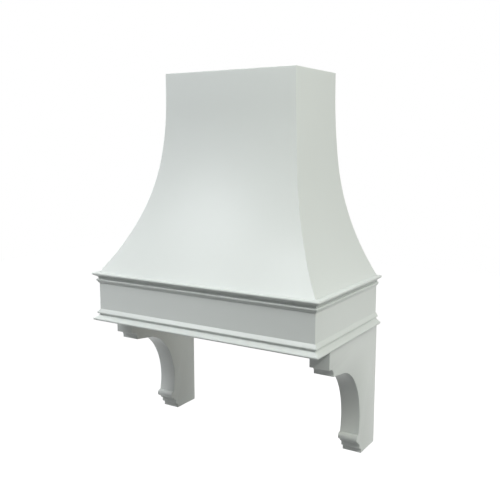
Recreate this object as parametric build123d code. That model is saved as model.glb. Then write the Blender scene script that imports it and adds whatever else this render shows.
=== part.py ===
from build123d import *
import math
import os

# Wall-mounted wooden range hood cover: a curved body over a moulded apron, on two corbels.
# Millimetres. The wall is the plane y = 0 and the hood stands out along -Y. +Z is up.
# x = 0 is the middle of the width, and z = 0 is the hood's underside.

# Main sizes
apron_width = 914.4
apron_depth = 503.5
apron_height = 185.5
body_height = 738.0
half_width = apron_width / 2
top_z = apron_height + body_height

# Flare of the body: plumb from the top down to start_z, an arc of upper_r down to join_z, then a
# tangent arc that lands flush with the apron at reach base.
side_flare = dict(top=275.7, start_z=872.0, upper_r=2240.0, join_z=606.5, base=half_width)
front_flare = dict(top=309.0, start_z=789.6, upper_r=1014.0, join_z=279.7, base=apron_depth)

# Stock: bent skins, boards, square sticks, and how deep a rib's end is let in
skin = 9.5
board = 19.0
stick = 38.0
housing = 6.0

# Opening for the insert, the same in the soffit and the deck
opening_width = 762.0
opening_depth = 368.0
opening_back = 60.0

# Middles of the ribs
front_rib_x = 110.0
front_jack_x = 285.0
side_rib_y = 150.0
side_jack_y = 330.0

# Apron
ledger_height = 38.0
lower_rail_height = 89.0
block_leg = 38.0
spline_size = (16.0, 6.0)
spline_inset = 7.1

# Moulding profile
nose_r = 5.0
nose_flat = 15.3
slope_angle = math.radians(32.8)
cove_r = 7.0
waist = 2.8
quirk = 25.2
bead_r = 4.4
bead_flat = 1.8
bevel_angle = math.radians(53.4)

# Corbels, in reach from the wall and height
corbel_width = 74.0
corbel_outer_x = 463.0
corbel_height = 466.5
block_reach = 407.0
block_height = 69.3
block_step = 8.0
block_cove = 25.5
cove_foot = 100.0
arch_start = 300.0
arch_centre = Vector(314, -324)
arch_width = 171.5
arch_height = 215.0
roll_r = 14.0
roll_centre = Vector(152.5, -400.5)
foot_fillet = Vector(148.5, -423.5)
foot_neck = Vector(136, -433)
foot_lip = Vector(136, -445)
foot_base = Vector(122.5, -455.5)

# Wall fixings
stud_pitch = 406.4
wall_hole_r = 2.5
cleat_z = 790.0
cleat_height = 89.0
cleat_half_length = 222.0
cleat_row_pitch = 40.0
cleat_row_drop = 50.0
lower_hole_z = 45.0
plate_width = 16.0
plate_height = 44.0
plate_thickness = 2.0
plate_z = -400.0
keyhole_r = 5.0
key_slot_r = 2.6
key_slot_rise = 14.0
pocket_r = 6.0
pocket_depth = 12.0

# Wood screws
screw_r = 2.0
screw_head_r = 4.0
screw_head_depth = 2.6
top_screw_length = 50.0
corbel_screw_length = 58.0
corbel_screw_y = (120.0, 350.0)

# Shared levels and planes
far = 700.0
front_inside = apron_depth - board
side_inside = half_width - board
opening_front = opening_back + opening_depth
soffit_z = (0, board)
ledger_z = (apron_height - ledger_height, apron_height)
deck_z = (apron_height, apron_height + board)
top_frame_z = (top_z - board, top_z)
rib_z = (deck_z[1] - housing, top_frame_z[0] + housing)
front_view = Plane.XZ
side_view = Plane(origin=(0, 0, 0), x_dir=(0, -1, 0), z_dir=(-1, 0, 0))


def slab(x_range, y_range, z_range):
    low = Vector(x_range[0], y_range[0], z_range[0])
    high = Vector(x_range[1], y_range[1], z_range[1])
    size = high - low
    return Pos((low + high) / 2) * Box(size.X, size.Y, size.Z)


def prism(plan, z_range):
    base = make_face(Polyline(*[(x, y, z_range[0]) for x, y in plan], close=True))
    return extrude(base, amount=z_range[1] - z_range[0], dir=(0, 0, 1))


def mirrored(solid):
    return mirror(solid, about=Plane.YZ)


def both_sides(name, solid):
    return {f"right_{name}": solid, f"left_{name}": mirrored(solid)}


def on_circle(centre, radius, angle):
    # Point on the wall side of a circle, at an angle below the level of its centre
    return centre - Vector(math.cos(angle), math.sin(angle)) * radius


def arc_points(centre, radius, start, end):
    return [on_circle(centre, radius, angle) for angle in (start, (start + end) / 2, end)]


def flare_face(flare, inset):
    # What a flare encloses, from the middle or the wall out to its line, moved inwards by inset
    top, start_z, upper_r, base = flare["top"], flare["start_z"], flare["upper_r"], flare["base"]
    turn = math.asin((start_z - flare["join_z"]) / upper_r)
    upper_centre = Vector(top + upper_r, start_z)
    join = on_circle(upper_centre, upper_r, turn)
    run = base - join.X
    drop = join.Y - apron_height
    lower_r = (run**2 + drop**2) / (2 * (run * math.cos(turn) - drop * math.sin(turn)))
    lower_centre = join + Vector(math.cos(turn), math.sin(turn)) * lower_r
    end = math.asin((lower_centre.Y - apron_height) / (lower_r + inset))
    upper_points = arc_points(upper_centre, upper_r + inset, 0, turn)
    lower_points = arc_points(lower_centre, lower_r + inset, turn, end)
    plumb = Polyline(lower_points[-1], (0, apron_height), (0, top_z), (top - inset, top_z), upper_points[0])
    return make_face(plumb + ThreePointArc(*upper_points) + ThreePointArc(*lower_points))


def front_mass(inset):
    return extrude(side_view * flare_face(front_flare, inset), amount=far, both=True)


def side_mass(inset):
    half = extrude(front_view * flare_face(side_flare, inset), amount=far)
    return half + mirrored(half)


outer_front = front_mass(0)
inner_front = front_mass(skin)
deep_front = front_mass(skin + stick)
outer_sides = side_mass(0)
inner_sides = side_mass(skin)
deep_sides = side_mass(skin + stick)
housed_sides = side_mass(skin + stick - housing)
right_half = slab((0, far), (-far, 0), (0, top_z))


def skins():
    # The front panel laps over the side panels' edges and is trimmed flush with them
    side = (outer_sides - inner_sides) & inner_front & right_half
    return {"front_panel": (outer_front - inner_front) & outer_sides, **both_sides("side_panel", side)}


def ribs():
    # Sticks that carry the skins. A hip post follows both flares at once, and the short jack ribs
    # are scribed to its faces.
    front_band = inner_front - deep_front
    side_band = (inner_sides - deep_sides) & right_half

    def front_rib(x):
        return front_band & deep_sides & slab((x - board / 2, x + board / 2), (-far, 0), rib_z)

    def side_rib(y):
        return side_band & deep_front & slab((0, far), (-y - board / 2, -y + board / 2), rib_z)

    post = front_band & side_band & slab((0, far), (-far, 0), rib_z)
    return {
        **both_sides("hip_post", post),
        **both_sides("front_rib", front_rib(front_rib_x)),
        **both_sides("front_jack_rib", front_rib(front_jack_x)),
        **both_sides("side_rib", side_rib(side_rib_y)),
        **both_sides("side_jack_rib", side_rib(side_jack_y)),
        **both_sides("back_stile", side_rib(board / 2)),
    }


def ring(name, outline, inner_x, inner_front, inner_back, z_range):
    # A flat frame of four rails: front and back run through, left and right fit between them
    between = (-inner_front, -inner_back)
    cuts = {
        "front": slab((-far, far), (-far, -inner_front), z_range),
        "back": slab((-far, far), (-inner_back, 0), z_range),
        "left": slab((-far, -inner_x), between, z_range),
        "right": slab((inner_x, far), between, z_range),
    }
    return {f"{name}_rail_{side}": outline & cut for side, cut in cuts.items()}


def frames(rib_parts):
    # Top frame and deck, with housings for the ribs' ends
    inside = inner_front & inner_sides
    top_x = side_flare["top"] - skin - stick
    top_y = front_flare["top"] - skin - stick
    rails = ring("top", inside, top_x, top_y, stick, top_frame_z)
    rails.update(ring("deck", inside, opening_width / 2, opening_front, opening_back, deck_z))
    return {name: rail - list(rib_parts.values()) for name, rail in rails.items()}


def wall_holes(solid, levels):
    # Pairs of screw holes on two studs
    for x in (-stud_pitch / 2, stud_pitch / 2):
        for z in levels:
            solid -= Pos(x, 0, z) * Rot(90, 0, 0) * Cylinder(wall_hole_r, 3 * board)
    return solid


def cleats():
    # The hanging rail hooks over the wall cleat on a 45 degree bevel
    wall_side = (0, cleat_z - board / 2)
    room_side = (board, cleat_z + board / 2)
    top = cleat_z + cleat_height
    bottom = cleat_z - cleat_height
    rail = make_face(Polyline(wall_side, room_side, (board, top), (0, top), close=True))
    cleat = make_face(Polyline(wall_side, (0, bottom), (board, bottom), room_side, close=True))
    rows = [cleat_z - cleat_row_drop + shift for shift in (-cleat_row_pitch / 2, cleat_row_pitch / 2)]
    return {
        "hanging_rail": extrude(side_view * rail, amount=far, both=True) & housed_sides,
        "wall_cleat": wall_holes(extrude(side_view * cleat, amount=cleat_half_length, both=True), rows),
    }


def mitred_plan(width, depth, inner_width, inner_depth):
    # Plans of the front and right runs of a band between an outer and an inner outline
    front = [(-width, -depth), (width, -depth), (inner_width, -inner_depth), (-inner_width, -inner_depth)]
    right = [(width, -depth), (width, 0), (inner_width, 0), (inner_width, -inner_depth)]
    return front, right


def apron():
    # Mitred panels with a spline let into each mitre
    front, right = mitred_plan(half_width, apron_depth, side_inside, front_inside)
    place = Pos(side_inside + spline_inset, -front_inside - spline_inset, apron_height / 2) * Rot(0, 0, 45)
    spline = place * Box(*spline_size, apron_height)
    pair = [spline, mirrored(spline)]
    return {
        "apron_front": prism(front, (0, apron_height)) - pair,
        "apron_right": prism(right, (0, apron_height)) - spline,
        "apron_left": mirrored(prism(right, (0, apron_height)) - spline),
        "mitre_splines": pair,
    }


def apron_inside():
    # Ledgers under the deck, corner blocks, the rail screwed to the wall, and the soffit
    width = (-side_inside, side_inside)
    ledger = slab((side_inside - board, side_inside), (-front_inside + board, -board), ledger_z)
    corner = (side_inside, -front_inside)
    block_plan = [corner, (corner[0], corner[1] + block_leg), (corner[0] - block_leg, corner[1])]
    between = slab(width, (-front_inside, -board), soffit_z)
    return {
        "front_ledger": slab(width, (-front_inside, -front_inside + board), ledger_z),
        "back_ledger": slab(width, (-board, 0), ledger_z),
        "lower_back_rail": wall_holes(slab(width, (-board, 0), (0, lower_rail_height)), [lower_hole_z]),
        **both_sides("ledger", ledger),
        **both_sides("corner_block", prism(block_plan, (board, ledger_z[0]))),
        **ring("soffit", between, opening_width / 2, opening_front, opening_back, soffit_z),
    }


def moulding_face():
    # Nose, sloping face, cove, waist, bead and bevel. x is the projection from the apron, y is the
    # distance from the moulding's flat edge.
    slope = Vector(-math.cos(slope_angle), math.sin(slope_angle))
    nose_end = Vector(nose_flat, nose_r) + Vector(math.sin(slope_angle), math.cos(slope_angle)) * nose_r
    cove_x = waist + cove_r * (1 - math.sin(slope_angle))
    cove_start = nose_end + slope * ((nose_end.X - cove_x) / math.cos(slope_angle))
    cove_end = Vector(waist, cove_start.Y + cove_r * math.cos(slope_angle))
    bead_start = Vector(waist + bead_flat, quirk)
    bead_centre = bead_start + Vector(0, bead_r)
    bead_end = bead_centre + Vector(math.sin(bevel_angle), math.cos(bevel_angle)) * bead_r
    bevel_end = Vector(0, bead_end.Y + bead_end.X * math.tan(bevel_angle))
    outline = [
        Polyline(bevel_end, (0, 0), (nose_flat, 0)),
        TangentArc((nose_flat, 0), nose_end, tangent=(1, 0)),
        Line(nose_end, cove_start),
        TangentArc(cove_start, cove_end, tangent=slope),
        Polyline(cove_end, (waist, quirk), bead_start),
        TangentArc(bead_start, bead_end, tangent=(1, 0)),
        Line(bead_end, bevel_end),
    ]
    return make_face(Curve() + outline)


def mouldings():
    # Upper and lower are one profile, upside down below, mitred at the front corners
    profile = moulding_face()
    edge_x = half_width + nose_flat + nose_r
    edge_y = apron_depth + nose_flat + nose_r
    front_plan, right_plan = mitred_plan(edge_x, edge_y, half_width, apron_depth)
    flat_edge = (-half_width, -apron_depth, apron_height)
    front_run = Plane(origin=flat_edge, x_dir=(0, -1, 0), z_dir=(1, 0, 0))
    right_run = Plane(origin=(half_width, 0, apron_height), x_dir=(1, 0, 0), z_dir=(0, 1, 0))
    full = (0, apron_height)
    front = extrude(front_run * profile, amount=2 * far, both=True) & prism(front_plan, full)
    right = extrude(right_run * profile, amount=far, both=True) & prism(right_plan, full)
    runs = {"front": front, "right": right, "left": mirrored(right)}
    parts = {f"upper_moulding_{side}": run for side, run in runs.items()}
    middle = Plane.XY.offset(apron_height / 2)
    parts.update({f"lower_moulding_{side}": mirror(run, about=middle) for side, run in runs.items()})
    return parts


def hollow_quarter(start, end):
    # Concave quarter round that steps in from start down to end
    share = math.sin(math.pi / 4)
    middle = (start.X + (end.X - start.X) * share, end.Y + (start.Y - end.Y) * share)
    return ThreePointArc(start, middle, end)


def corbel_face():
    # A block under the hood, an elliptical arch, a roll and a stepped foot. x is the reach from the
    # wall, y is the height.
    start_angle = math.acos((arch_start - arch_centre.X) / arch_width)
    roll_top = roll_centre + Vector(0, roll_r)
    end_angle = math.pi + math.asin((arch_centre.Y - roll_top.Y) / arch_height)
    arch = EllipticalCenterArc(
        arch_centre,
        arch_width,
        arch_height,
        start_angle=math.degrees(start_angle),
        arc_size=math.degrees(end_angle - start_angle),
    )
    cove_start = Vector(block_reach - block_step, -block_height)
    cove_end = cove_start - Vector(block_cove, block_cove)
    roll_bottom = roll_centre - Vector(0, roll_r)
    outline = [
        Polyline((0, 0), (block_reach, 0), (block_reach, -block_height), cove_start),
        hollow_quarter(cove_start, cove_end),
        Polyline(cove_end, (cove_end.X, -cove_foot), arch @ 0),
        arch,
        Line(arch @ 1, roll_top),
        ThreePointArc(roll_top, roll_centre + Vector(roll_r, 0), roll_bottom),
        Polyline(roll_bottom, (foot_fillet.X, roll_bottom.Y), foot_fillet),
        hollow_quarter(foot_fillet, foot_neck),
        Line(foot_neck, foot_lip),
        hollow_quarter(foot_lip, foot_base),
        Polyline(foot_base, (foot_base.X, -corbel_height), (0, -corbel_height), (0, 0)),
    ]
    return make_face(Curve() + outline)


def keyhole(hole_r, slot_r, depth):
    # A round hole with a slot rising from it, cut depth into the corbel from the wall plane
    hole = Cylinder(hole_r, 2 * depth)
    slot = Pos(0, key_slot_rise / 2, 0) * Box(2 * slot_r, key_slot_rise, 2 * depth)
    slot_end = Pos(0, key_slot_rise, 0) * Cylinder(slot_r, 2 * depth)
    return Pos(0, 0, -key_slot_rise / 2) * Rot(90, 0, 0) * (hole + slot + slot_end)


def corbels(screws):
    # Each corbel is screwed up to the soffit and hooks on the wall by a keyhole plate let into its back
    corbel = Pos(corbel_outer_x, 0, 0) * extrude(side_view * corbel_face(), amount=corbel_width)
    place = Pos(corbel_outer_x - corbel_width / 2, 0, plate_z)
    blank = place * Pos(0, -plate_thickness / 2, 0) * Box(plate_width, plate_thickness, plate_height)
    plate = blank - place * keyhole(keyhole_r, key_slot_r, pocket_depth)
    pocket = place * keyhole(pocket_r, pocket_r, pocket_depth)
    return {**both_sides("corbel", corbel - blank - pocket - screws), "keyhole_plates": [plate, mirrored(plate)]}


def screw(length):
    # Countersunk, with its head's flat top at z = 0
    head = Pos(0, 0, -screw_head_depth / 2) * Cone(screw_r, screw_head_r, screw_head_depth)
    shank = length - screw_head_depth
    return head + Pos(0, 0, -screw_head_depth - shank / 2) * Cylinder(screw_r, shank)


def screws_at(places, length):
    # Screws at places on the right of the middle, and their mirror images
    right = [Pos(*place) * screw(length) for place in places]
    return right + [mirrored(s) for s in right]


def all_screws():
    # Down through the top frame into the posts and stiles, and down through the soffit into the corbels
    post_x = side_flare["top"] - skin - stick / 2
    post_y = -front_flare["top"] + skin + stick / 2
    corbel_x = (opening_width / 2 + side_inside) / 2
    top_places = [(post_x, y, top_z) for y in (post_y, -board / 2)]
    corbel_places = [(corbel_x, -y, board) for y in corbel_screw_y]
    return {
        "top_frame_screws": screws_at(top_places, top_screw_length),
        "corbel_screws": screws_at(corbel_places, corbel_screw_length),
    }


screwed_nodes = {
    "top_frame_screws": ("top_rail", "hip_post", "back_stile"),
    "corbel_screws": ("soffit_rail",),
}


def main():
    screws = all_screws()
    rib_parts = ribs()
    parts = {**skins(), **rib_parts, **frames(rib_parts), **cleats(), **apron(), **apron_inside()}
    for side in ("left", "right"):
        parts[f"{side}_back_stile"] = parts[f"{side}_back_stile"] - parts["hanging_rail"]
    for group, words in screwed_nodes.items():
        for name in [n for n in parts if any(word in n for word in words)]:
            parts[name] = parts[name] - screws[group]
    parts.update(mouldings())
    parts.update(corbels(screws["corbel_screws"]))
    parts.update(screws)
    os.makedirs("parts", exist_ok=True)
    for name, shape in parts.items():
        solids = shape if isinstance(shape, list) else [shape]
        export_step(Compound([s for item in solids for s in item.solids()]), f"parts/{name}.step")


main()
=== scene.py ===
import math

import bmesh
import bpy
from mathutils import Matrix, Vector


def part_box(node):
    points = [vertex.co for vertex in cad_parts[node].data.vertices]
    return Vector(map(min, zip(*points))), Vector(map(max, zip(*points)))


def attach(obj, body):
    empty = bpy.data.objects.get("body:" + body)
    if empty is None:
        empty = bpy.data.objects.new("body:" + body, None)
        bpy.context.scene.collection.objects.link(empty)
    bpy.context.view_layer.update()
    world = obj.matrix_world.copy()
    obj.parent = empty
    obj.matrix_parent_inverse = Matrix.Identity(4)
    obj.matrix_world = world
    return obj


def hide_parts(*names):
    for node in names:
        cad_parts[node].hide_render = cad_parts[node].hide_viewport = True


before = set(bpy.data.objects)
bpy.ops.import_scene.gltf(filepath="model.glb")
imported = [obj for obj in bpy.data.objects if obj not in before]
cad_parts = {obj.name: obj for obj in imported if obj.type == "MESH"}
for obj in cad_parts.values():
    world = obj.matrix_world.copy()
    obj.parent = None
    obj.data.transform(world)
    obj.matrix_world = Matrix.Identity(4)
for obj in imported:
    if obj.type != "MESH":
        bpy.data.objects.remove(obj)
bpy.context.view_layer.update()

rootBody = "root"
replacedNodes = set()

# Metres. The wall is y = 0, the hood stands out along -Y, and z = 0 is its underside.
apronLow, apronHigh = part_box("apron_front")
halfWidth = apronHigh.x
apronDepth = -apronLow.y
apronHeight = apronHigh.z
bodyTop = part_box("front_panel")[1].z

# camera

cameraView = {
    "lens": 50.0,
    "sensor": 36.0,
    "place": (1.3980, -2.4002, 0.6668),
    "turnLeft": 31.914,  # degrees
    "lookDown": 8.726,
}


def makeCamera():
    data = bpy.data.cameras.new("camera")
    data.lens = cameraView["lens"]
    data.sensor_width = cameraView["sensor"]
    camera = bpy.data.objects.new("camera", data)
    camera.location = cameraView["place"]
    tilt = math.radians(90 - cameraView["lookDown"])
    camera.rotation_euler = (tilt, 0, math.radians(cameraView["turnLeft"]))
    bpy.context.scene.collection.objects.link(camera)
    bpy.context.scene.camera = camera


makeCamera()
print("camera placed")

# node trees


def setInput(tree, socket, value):
    if isinstance(value, bpy.types.NodeSocket):
        tree.links.new(value, socket)
    else:
        socket.default_value = value


def addNode(tree, kind, inputs=None, **settings):
    node = tree.nodes.new(kind)
    for name, value in settings.items():
        setattr(node, name, value)
    for name, value in (inputs or {}).items():
        setInput(tree, node.inputs[name], value)
    return node


def calc(tree, operation, *values):
    node = addNode(tree, "ShaderNodeMath", operation=operation)
    for socket, value in zip(node.inputs, values):
        setInput(tree, socket, value)
    return node.outputs[0]


def blend(tree, share, start, end):
    # start where share is 0, end where it is 1
    node = addNode(tree, "ShaderNodeMix", data_type="FLOAT", clamp_factor=False)
    for socket, value in zip((node.inputs[0], node.inputs[2], node.inputs[3]), (share, start, end)):
        setInput(tree, socket, value)
    return node.outputs[0]


def combine(tree, **parts):
    # A vector from any of X, Y and Z
    return addNode(tree, "ShaderNodeCombineXYZ", parts).outputs[0]


def separate(tree, vector):
    return addNode(tree, "ShaderNodeSeparateXYZ", {0: vector}).outputs


def newTree(name, kind, inputs, outputs):
    # A node tree with named inputs, each with its kind of socket and the value it starts from
    tree = bpy.data.node_groups.new(name, kind)
    for label, (socketKind, value) in inputs.items():
        socket = tree.interface.new_socket(label, in_out="INPUT", socket_type="NodeSocket" + socketKind)
        if value is not None:
            socket.default_value = value
    for label, socketKind in outputs.items():
        tree.interface.new_socket(label, in_out="OUTPUT", socket_type="NodeSocket" + socketKind)
    given = tree.nodes.new("NodeGroupInput").outputs
    result = tree.nodes.new("NodeGroupOutput").inputs
    return tree, given, result


def setTreeInput(modifier, label, value):
    sockets = modifier.node_group.interface.items_tree
    key = next(s.identifier for s in sockets if s.name == label and s.in_out == "INPUT")
    modifier[key] = value


arrisSegments = 3


def grown(tree, name, values, arris=None, places=()):
    # The plain mesh that a tree makes, at places where it stands things at points, with the arrises
    # it marks eased by so much
    carrier = bpy.data.objects.new(name, bpy.data.meshes.new(name))
    carrier.data.from_pydata(places, [], [])
    bpy.context.scene.collection.objects.link(carrier)
    modifier = carrier.modifiers.new("tree", "NODES")
    modifier.node_group = tree
    for label, value in values.items():
        setTreeInput(modifier, label, value)
    if arris:
        ease = carrier.modifiers.new("arris", "BEVEL")
        ease.limit_method = "WEIGHT"
        ease.width = arris
        ease.segments = arrisSegments
    depsgraph = bpy.context.evaluated_depsgraph_get()
    mesh = bpy.data.meshes.new_from_object(carrier.evaluated_get(depsgraph), depsgraph=depsgraph)
    bpy.data.objects.remove(carrier)
    bm = bmesh.new()
    bm.from_mesh(mesh)
    bmesh.ops.recalc_face_normals(bm, faces=bm.faces)
    bm.to_mesh(mesh)
    bm.free()
    return mesh


def shadeByAngle(mesh, degrees=35):
    mesh.polygons.foreach_set("use_smooth", [True] * len(mesh.polygons))
    mesh.set_sharp_from_angle(angle=math.radians(degrees))


def addPiece(name, mesh, slot, *replaced, turn=0):
    # Turned about Z from the front to a side, in its mesh, so that the object itself stays at the origin
    mesh.transform(Matrix.Rotation(math.radians(turn), 4, "Z"))
    shadeByAngle(mesh)
    mesh.name = name
    piece = bpy.data.objects.new(name, mesh)
    bpy.context.scene.collection.objects.link(piece)
    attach(piece, rootBody)
    if replaced:
        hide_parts(*replaced)
        replacedNodes.update(replaced)
    return piece


def outlineCurve(name, points):
    # A closed outline that the trees read. It is no piece, and goes once its meshes are made.
    data = bpy.data.curves.new(name, "CURVE")
    data.dimensions = "3D"
    spline = data.splines.new("POLY")
    spline.points.add(len(points) - 1)
    for point, place in zip(spline.points, points):
        point.co = (place[0], place[1], 0, 1)
    spline.use_cyclic_u = True
    curve = bpy.data.objects.new(name, data)
    bpy.context.scene.collection.objects.link(curve)
    return curve


def arcPoints(centre, radii, start, end, steps):
    # Angles in degrees from +x. Two different radii make an elliptical arc.
    angles = [math.radians(start + (end - start) * k / steps) for k in range(steps + 1)]
    return [Vector((centre[0] + radii[0] * math.cos(a), centre[1] + radii[1] * math.sin(a))) for a in angles]


# shader groups that the finishes share


def newGroup(name, inputs, outputs):
    return newTree(name, "ShaderNodeTree", inputs, outputs)


def useGroup(tree, group, **values):
    # Input names are written as keywords, in camelCase for the group's words
    node = addNode(tree, "ShaderNodeGroup", node_tree=group)
    for socket in node.inputs:
        key = socket.name[0].lower() + socket.name[1:].replace(" ", "")
        if key in values:
            setInput(tree, socket, values[key])
    return node.outputs


def scaled(tree, vector, factors):
    return addNode(tree, "ShaderNodeVectorMath", {0: vector, 1: factors}, operation="MULTIPLY").outputs[0]


def noise(tree, vector, scale, detail=2.0, roughness=0.5):
    inputs = {"Vector": vector, "Scale": scale, "Detail": detail, "Roughness": roughness}
    return addNode(tree, "ShaderNodeTexNoise", inputs).outputs[0]


def remap(tree, value, low, high, toLow=0.0, toHigh=1.0):
    inputs = {"Value": value, "From Min": low, "From Max": high, "To Min": toLow, "To Max": toHigh}
    return addNode(tree, "ShaderNodeMapRange", inputs).outputs[0]


def mixColour(tree, share, start, end, kind="MIX"):
    node = addNode(tree, "ShaderNodeMix", data_type="RGBA", blend_type=kind)
    for socket, value in zip((node.inputs[0], node.inputs[6], node.inputs[7]), (share, start, end)):
        setInput(tree, socket, value)
    return node.outputs[2]


surfaceOutputs = {"Colour": "Color", "Roughness": "Float", "Height": "Float"}


def paintFilmGroup():
    # Sprayed paint: a faint cloudiness, an orange peel, and the timber's grain barely showing through
    inputs = {
        "Vector": ("Vector", None),
        "Colour": ("Color", (0.8, 0.8, 0.8, 1)),
        "Cloud": ("Float", 0.02),
        "Peel Depth": ("Float", 0.00001),
        "Grain Depth": ("Float", 0.0),
        "Sheen Low": ("Float", 0.36),
        "Sheen High": ("Float", 0.46),
    }
    tree, given, result = newGroup("paintFilm", inputs, surfaceOutputs)
    vector = given["Vector"]
    cloud = calc(tree, "SUBTRACT", noise(tree, vector, 7.0, 3.0, 0.55), 0.5)
    shade = calc(tree, "ADD", 1.0, calc(tree, "MULTIPLY", calc(tree, "MULTIPLY", cloud, 2.0), given["Cloud"]))
    grey = addNode(tree, "ShaderNodeCombineColor", {0: shade, 1: shade, 2: shade}).outputs[0]
    setInput(tree, result["Colour"], mixColour(tree, 1.0, given["Colour"], grey, "MULTIPLY"))
    patch = remap(tree, noise(tree, vector, 26.0, 3.0), 0.35, 0.65)
    setInput(tree, result["Roughness"], blend(tree, patch, given["Sheen Low"], given["Sheen High"]))
    peel = calc(tree, "MULTIPLY", noise(tree, vector, 420.0, 1.0, 0.4), given["Peel Depth"])
    fibre = noise(tree, scaled(tree, vector, (0.03, 1.0, 1.0)), 900.0, 3.0, 0.6)
    telegraph = calc(tree, "MULTIPLY", fibre, given["Grain Depth"])
    setInput(tree, result["Height"], calc(tree, "ADD", peel, telegraph))
    return tree


pithShift = {"Y": 0.83, "Z": 0.61}  # the rings' centre lies outside every board


def timberGroup():
    # Growth rings, fibres and pores, with the grain along X. Streak is the heartwood's colour.
    inputs = {
        "Vector": ("Vector", None),
        "Pale": ("Color", (0.7, 0.6, 0.4, 1)),
        "Dark": ("Color", (0.5, 0.4, 0.25, 1)),
        "Streak": ("Color", (0.4, 0.4, 0.25, 1)),
        "Streak Share": ("Float", 0.3),
        "Ring Width": ("Float", 0.004),
        "Ring Contrast": ("Float", 0.5),
        "Pore Contrast": ("Float", 0.4),
        "Depth": ("Float", 0.00004),
    }
    tree, given, result = newGroup("timber", inputs, surfaceOutputs)
    vector = given["Vector"]
    bend = calc(tree, "SUBTRACT", noise(tree, scaled(tree, vector, (0.22, 1.0, 1.0)), 9.0, 2.0), 0.5)
    parts = separate(tree, vector)
    sway = calc(tree, "MULTIPLY", bend, 0.06)
    fromPith = [calc(tree, "ADD", calc(tree, "ADD", parts[k], sway), shift) for k, shift in pithShift.items()]
    squares = [calc(tree, "MULTIPLY", value, value) for value in fromPith]
    radius = calc(tree, "SQRT", calc(tree, "ADD", *squares))
    ring = calc(tree, "FRACT", calc(tree, "DIVIDE", radius, given["Ring Width"]))
    late = calc(tree, "POWER", ring, 2.6)
    fibre = noise(tree, scaled(tree, vector, (0.02, 1.0, 1.0)), 700.0, 4.0, 0.65)
    pore = remap(tree, noise(tree, scaled(tree, vector, (0.07, 1.0, 1.0)), 1500.0, 1.0), 0.64, 0.72)
    fibreShade = remap(tree, fibre, 0.3, 0.75, 0.0, 0.4)
    shade = calc(tree, "ADD", calc(tree, "MULTIPLY", late, given["Ring Contrast"]), fibreShade)
    streak = noise(tree, scaled(tree, vector, (0.05, 1.0, 1.0)), 13.0, 3.0, 0.6)
    isStreak = calc(tree, "MULTIPLY", remap(tree, streak, 0.52, 0.66), given["Streak Share"])
    colour = mixColour(tree, isStreak, mixColour(tree, shade, given["Pale"], given["Dark"]), given["Streak"])
    poreShade = calc(tree, "MULTIPLY", pore, given["Pore Contrast"])
    setInput(tree, result["Colour"], mixColour(tree, poreShade, colour, given["Dark"]))
    setInput(tree, result["Roughness"], remap(tree, fibre, 0.3, 0.7, 0.55, 0.72))
    relief = calc(tree, "SUBTRACT", fibre, calc(tree, "MULTIPLY", pore, 0.8))
    setInput(tree, result["Height"], calc(tree, "MULTIPLY", relief, given["Depth"]))
    return tree


def plyEdgeGroup():
    # Crossed veneers on the edges of a sheet that is Z thick: mask is 1 on an edge
    inputs = {
        "Vector": ("Vector", None),
        "Normal": ("Vector", None),
        "Veneer": ("Float", 0.00146),
        "Long": ("Color", (0.7, 0.55, 0.35, 1)),
        "Cross": ("Color", (0.4, 0.27, 0.15, 1)),
    }
    tree, given, result = newGroup("plyEdge", inputs, {"Colour": "Color", "Mask": "Float", "Height": "Float"})
    across = separate(tree, given["Normal"])["Z"]
    setInput(tree, result["Mask"], remap(tree, calc(tree, "ABSOLUTE", across), 0.75, 0.6))
    wander = calc(tree, "MULTIPLY", calc(tree, "SUBTRACT", noise(tree, given["Vector"], 35.0), 0.5), 0.0006)
    z = calc(tree, "ADD", separate(tree, given["Vector"])["Z"], wander)
    turn = calc(tree, "SINE", calc(tree, "MULTIPLY", calc(tree, "DIVIDE", z, given["Veneer"]), math.pi))
    isCross = remap(tree, turn, -0.15, 0.15)
    speck = noise(tree, given["Vector"], 900.0, 2.0, 0.7)
    tone = calc(tree, "MULTIPLY", isCross, remap(tree, speck, 0.35, 0.6, 0.55, 1.0))
    setInput(tree, result["Colour"], mixColour(tree, tone, given["Long"], given["Cross"]))
    setInput(tree, result["Height"], calc(tree, "MULTIPLY", calc(tree, "MULTIPLY", isCross, speck), -0.00012))
    return tree


def rubbedEdgeGroup():
    # Arrises, broken up: mask is 1 where an edge has been rubbed
    inputs = {"Vector": ("Vector", None), "Radius": ("Float", 0.002), "Share": ("Float", 0.6)}
    tree, given, result = newGroup("rubbedEdge", inputs, {"Mask": "Float"})
    rounded = addNode(tree, "ShaderNodeBevel", {"Radius": given["Radius"]}, samples=6).outputs[0]
    flat = addNode(tree, "ShaderNodeNewGeometry").outputs["Normal"]
    match = addNode(tree, "ShaderNodeVectorMath", {0: rounded, 1: flat}, operation="DOT_PRODUCT")
    edge = remap(tree, match.outputs["Value"], 0.985, 0.9)
    broken = remap(tree, noise(tree, given["Vector"], 60.0, 4.0, 0.65), 0.62, 0.38)
    rubbed = calc(tree, "MULTIPLY", edge, broken)
    setInput(tree, result["Mask"], calc(tree, "MULTIPLY", rubbed, given["Share"]))
    return tree


def shopDustGroup():
    # Dust that settles on what faces up
    inputs = {"Vector": ("Vector", None), "Share": ("Float", 0.3)}
    tree, given, result = newGroup("shopDust", inputs, {"Mask": "Float"})
    normal = addNode(tree, "ShaderNodeNewGeometry").outputs["Normal"]
    up = remap(tree, separate(tree, normal)["Z"], 0.7, 0.98)
    drift = remap(tree, noise(tree, given["Vector"], 14.0, 4.0, 0.6), 0.35, 0.7)
    setInput(tree, result["Mask"], calc(tree, "MULTIPLY", calc(tree, "MULTIPLY", up, drift), given["Share"]))
    return tree


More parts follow.
